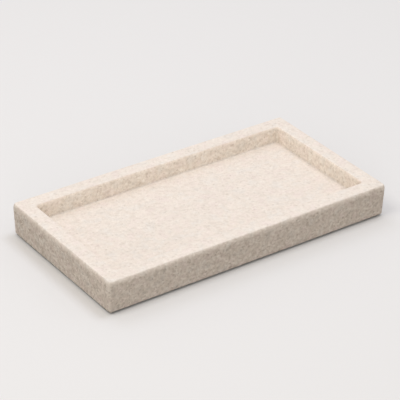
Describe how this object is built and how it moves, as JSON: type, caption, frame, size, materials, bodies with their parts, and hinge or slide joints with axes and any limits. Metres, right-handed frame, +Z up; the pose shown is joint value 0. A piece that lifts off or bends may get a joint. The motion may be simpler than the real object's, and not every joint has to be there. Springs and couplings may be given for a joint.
{
  "type": "storage tray",
  "caption": "Rectangular cast-stone storage tray with a thick flat rim, a shallow recess and drafted walls, standing on small anti-slip pads.",
  "frame": {"origin": "middle of the footprint, on the surface that the pads stand on", "axes": "+X along the tray's length, +Y towards its rear, +Z up out of the recess"},
  "size_m": [0.2996, 0.1596, 0.0327],
  "materials": {
    "stone": "matte cream sand grain",
    "pad_rubber": "matte black",
    "adhesive": "translucent off-white film"
  },
  "bodies": {
    "root": {"tray_body": "stone", "foot_pad_front_left": "pad_rubber", "foot_pad_front_right": "pad_rubber", "foot_pad_rear_left": "pad_rubber", "foot_pad_rear_right": "pad_rubber", "adhesive_disc_front_left": "adhesive", "adhesive_disc_front_right": "adhesive", "adhesive_disc_rear_left": "adhesive", "adhesive_disc_rear_right": "adhesive"}
  },
  "joints": []
}
